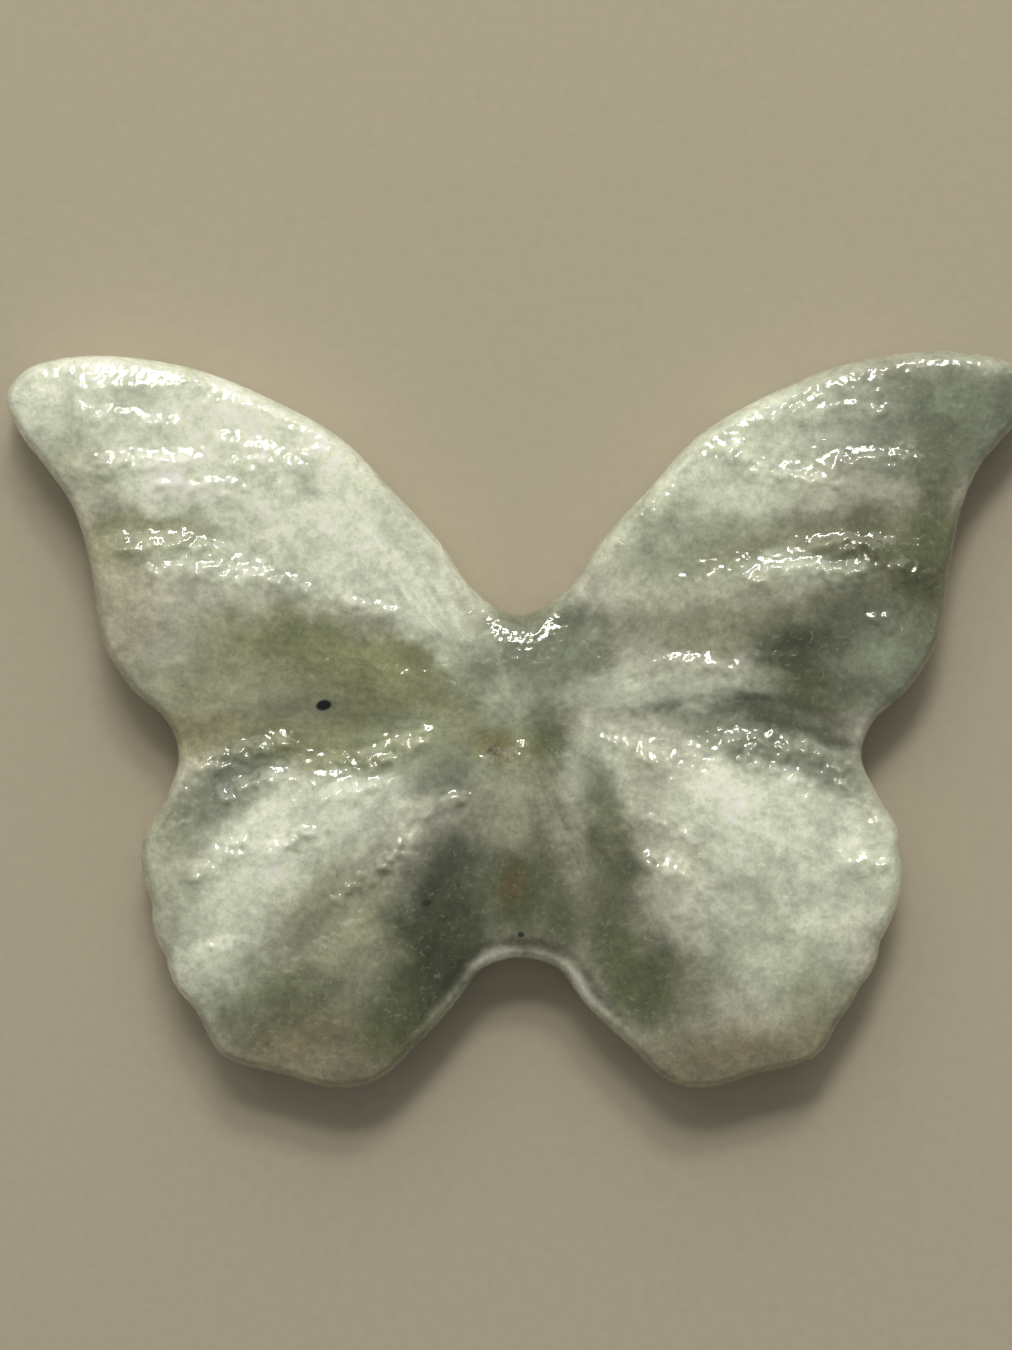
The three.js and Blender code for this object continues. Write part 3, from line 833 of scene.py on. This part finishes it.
def stir_group():
    """Place in the stone, stirred by noises so that what is drawn with it has a natural edge."""
    takes = {"Place": "Vector", **{name: "Float" for name in STIRS}}
    tree, given, result = new_group("Stone Stir", takes, {"Stirred": "Vector"})
    place = given.outputs["Place"]
    for name, (size, _) in STIRS.items():
        swirl = noise_texture(tree, given.outputs["Place"], 1 / (size * MM), STIR_DETAIL, STIR_ROUGHNESS)
        centred = vector_maths(tree, "SUBTRACT", swirl.outputs["Color"], (NOISE_MIDDLE,) * 3).outputs[0]
        push = scaled(tree, centred, given.outputs[name])
        place = vector_maths(tree, "ADD", place, push).outputs[0]
    tree.links.new(place, result.inputs[0])
    return tree


def fan(tree, place):
    """Place on a fan round the middle, alike on both sides, and the distance from the middle."""
    axis = add(tree, "ShaderNodeSeparateXYZ", {"Vector": place})
    turned = maths(tree, "ARCTAN2", axis.outputs["Y"], maths(tree, "ABSOLUTE", axis.outputs["X"]))
    reach = vector_maths(tree, "LENGTH", place).outputs["Value"]
    fanned = add(tree, "ShaderNodeCombineXYZ", {
        "X": maths(tree, "MULTIPLY", turned, FAN_TURN * MM),
        "Y": maths(tree, "MULTIPLY", reach, FAN_REACH),
        "Z": maths(tree, "MULTIPLY", axis.outputs["X"], FAN_SIDE),
    })
    return fanned.outputs[0], reach


def grain_group():
    """Grain of the stone as masks: mottling, felt, pale flecks, drifting wisps, and streaks on a fan."""
    takes = {"Place": "Vector", "Size": "Float"}
    tree, given, result = new_group("Stone Grain", takes, {name: "Float" for name in GRAIN_NOISES})
    place = given.outputs["Place"]
    fanned, reach = fan(tree, place)
    rate = maths(tree, "DIVIDE", 1.0, given.outputs["Size"])
    masks = {}
    for name, (finer, detail, roughness, distortion) in GRAIN_NOISES.items():
        drawn_on = fanned if name == "Streak" else place
        scale = maths(tree, "MULTIPLY", rate, finer)
        masks[name] = noise_texture(tree, drawn_on, scale, detail, roughness, distortion).outputs["Fac"]
    masks["Fleck"] = ranged(tree, masks["Fleck"], FLECK_EDGE, run="SMOOTHSTEP")
    fading = ranged(tree, reach, (FAN_FADE[0] * MM, FAN_FADE[1] * MM))
    streaks = add(tree, "ShaderNodeMix", {0: fading, 2: NOISE_MIDDLE, 3: masks["Streak"]})
    masks["Streak"] = streaks.outputs[0]
    for name, mask in masks.items():
        tree.links.new(mask, result.inputs[name])
    return tree


def placed(tree, group, inputs):
    return add(tree, "ShaderNodeGroup", inputs, node_tree=group)


def layered(tree, cloud, paint, place, layers, softness):
    """Clouds or specks laid over a colour in their order, each alike right through the stone."""
    flat = vector_maths(tree, "MULTIPLY", place, (1, 1, 0)).outputs[0]
    for tint, centre, half, turn, strength in layers.values():
        paint = placed(tree, cloud, {
            "Under": paint, "Tint": linear(TINTS[tint]), "Place": flat, **cloud_spread(centre, half, turn),
            "Softness": softness, "Strength": strength,
        }).outputs[0]
    return paint


def stone_colour(tree, look, place, grain):
    """Clouds over the ground colour, then what the grain does to them, then the specks."""
    pushes = {name: push * MM for name, (_, push) in STIRS.items()}
    stirred = placed(tree, stir_group(), {"Place": place, **pushes}).outputs[0]
    cloud = cloud_group()
    paint = layered(tree, cloud, (*look.ground, 1), stirred, CLOUDS, CLOUD_SOFTNESS)
    tone = 1.0
    for name, (given, wanted, run) in LIGHTNESS.items():
        tone = maths(tree, "MULTIPLY", tone, ranged(tree, grain.outputs[name], given, wanted, run))
    flecks = maths(tree, "MULTIPLY", grain.outputs["Fleck"], FLECK_STRENGTH)
    paint = laid_over(tree, scaled(tree, paint, tone), linear(TINTS["frost"]), flecks)
    return layered(tree, cloud, paint, place, SPECKS, SPECK_SOFTNESS)


def polish_roughness(tree, look, grain):
    wanted = [look.roughness * part for part in ROUGHNESS_SHARES]
    return ranged(tree, grain.outputs["Mottle"], MOTTLE_RANGE, wanted)


def polished_skin(tree, look, place, grain):
    """Pebbling of the polished skin, weaker between the wisps."""
    pebbles = noise_texture(tree, place, 1 / look.pebble, detail=0.0).outputs["Fac"]
    patches = ranged(tree, grain.outputs["Wisp"], PEBBLED_WISPS, PEBBLING)
    return add(tree, "ShaderNodeBump", {
        "Strength": 1.0, "Distance": look.pebble_depth, "Height": maths(tree, "MULTIPLY", pebbles, patches),
    }).outputs[0]


def jade_material(look):
    material = bpy.data.materials.new("mottled_jade")
    material.use_nodes = True
    tree = material.node_tree
    tree.nodes.clear()
    place = add(tree, "ShaderNodeTexCoord").outputs["Object"]
    grain = placed(tree, grain_group(), {"Place": place, "Size": GRAIN * MM})
    stone = add(tree, "ShaderNodeBsdfPrincipled", {
        "Base Color": stone_colour(tree, look, place, grain),
        "Roughness": polish_roughness(tree, look, grain),
        "Normal": polished_skin(tree, look, place, grain),
        "IOR": JADE_IOR, "Subsurface Weight": INNER_LIGHT,
        "Subsurface Radius": INNER_REACH, "Subsurface Scale": look.clarity,
    })
    end = add(tree, "ShaderNodeOutputMaterial")
    tree.links.new(stone.outputs[0], end.inputs[0])
    return material


def floor_material(look):
    material = bpy.data.materials.new("plain_floor")
    material.use_nodes = True
    tree = material.node_tree
    shader = tree.nodes["Principled BSDF"]
    place = add(tree, "ShaderNodeTexCoord").outputs["Object"]
    tooth = noise_texture(tree, place, 1 / (FLOOR_TOOTH * MM), detail=2.0).outputs["Fac"]
    base = scaled(tree, tuple(look.floor), ranged(tree, tooth, (0.0, 1.0), FLOOR_LIGHTNESS))
    tree.links.new(base, shader.inputs["Base Color"])
    shader.inputs["Roughness"].default_value = FLOOR_ROUGHNESS
    return material


def lamp(context, name, size, place, watts):
    """A rectangular lamp at a place in millimetres that faces the pendant."""
    light = bpy.data.lights.new(name, "AREA")
    light.shape = "RECTANGLE"
    light.size, light.size_y = (side * MM for side in size)
    light.energy = watts
    light.color = LAMP_TINT
    holder = bpy.data.objects.new(name, light)
    holder.location = Vector(place) * MM
    holder.rotation_mode = "QUATERNION"
    holder.rotation_quaternion = (-Vector(place)).to_track_quat("-Z", "Y")
    context.scene.collection.objects.link(holder)


class OBJECT_OT_butterfly_pendant(bpy.types.Operator):
    """Carve the butterfly and give it its jade"""

    bl_idname = "object.butterfly_pendant"
    bl_label = "Butterfly Pendant"

    def execute(self, context):
        piece = bpy.data.objects.new("jade_butterfly", carved_mesh(context.scene.carving_sizes))
        context.scene.collection.objects.link(piece)
        piece.data.materials.append(jade_material(context.scene.jade_look))
        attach(piece, BODY)
        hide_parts(NODE)
        return {"FINISHED"}


class OBJECT_OT_butterfly_stage(bpy.types.Operator):
    """Lay the floor and set the lamps and the camera"""

    bl_idname = "object.butterfly_stage"
    bl_label = "Floor, Lamps and Camera"

    def execute(self, context):
        look = context.scene.studio_look
        bpy.ops.mesh.primitive_plane_add(size=FLOOR_SIDE, location=(0, 0, -FLOOR_GAP * MM))
        floor = context.object
        floor.name = "plain_floor"
        floor.data.materials.append(floor_material(look))

        lamp(context, "head_side", KEY_SIZE, KEY_PLACE, look.key_power)
        for name, place in SPARK_LAMPS.items():
            lamp(context, name, SPARK_SIZE, place, look.spark_power)

        world = bpy.data.worlds.new("even_light")
        world.use_nodes = True
        daylight = world.node_tree.nodes["Background"]
        daylight.inputs["Color"].default_value = DAYLIGHT_TINT
        daylight.inputs["Strength"].default_value = look.daylight
        context.scene.world = world

        lens = bpy.data.cameras.new("camera")
        lens.sensor_width = SENSOR
        lens.lens = look.lens
        lens.clip_start = NEAREST_SEEN * MM
        camera = bpy.data.objects.new("camera", lens)
        camera.location = (CAMERA_PLACE[0] * MM, CAMERA_PLACE[1] * MM, look.camera_height)
        context.scene.collection.objects.link(camera)
        context.scene.camera = camera
        context.scene.view_settings.view_transform = "Standard"
        return {"FINISHED"}


class VIEW3D_PT_butterfly(bpy.types.Panel):
    """Sizes and colours of the pendant, with the buttons that build it"""

    bl_label = "Jade Butterfly Pendant"
    bl_idname = "VIEW3D_PT_butterfly"
    bl_space_type = "VIEW_3D"
    bl_region_type = "UI"
    bl_category = "Butterfly"

    def draw(self, context):
        for settings in (context.scene.carving_sizes, context.scene.jade_look, context.scene.studio_look):
            box = self.layout.box()
            for name in settings.__annotations__:
                box.prop(settings, name)
        for operator in OPERATORS:
            self.layout.operator(operator.bl_idname)


OPERATORS = (OBJECT_OT_butterfly_pendant, OBJECT_OT_butterfly_stage)
CLASSES = (CarvingSizes, JadeLook, StudioLook, *OPERATORS, VIEW3D_PT_butterfly)


def register():
    for cls in CLASSES:
        bpy.utils.register_class(cls)
    bpy.types.Scene.carving_sizes = PointerProperty(type=CarvingSizes)
    bpy.types.Scene.jade_look = PointerProperty(type=JadeLook)
    bpy.types.Scene.studio_look = PointerProperty(type=StudioLook)


def unregister():
    del bpy.types.Scene.studio_look
    del bpy.types.Scene.jade_look
    del bpy.types.Scene.carving_sizes
    for cls in reversed(CLASSES):
        bpy.utils.unregister_class(cls)


def main():
    register()
    bpy.ops.object.butterfly_stage()
    bpy.ops.object.butterfly_pendant()


if __name__ == "__main__":
    main()
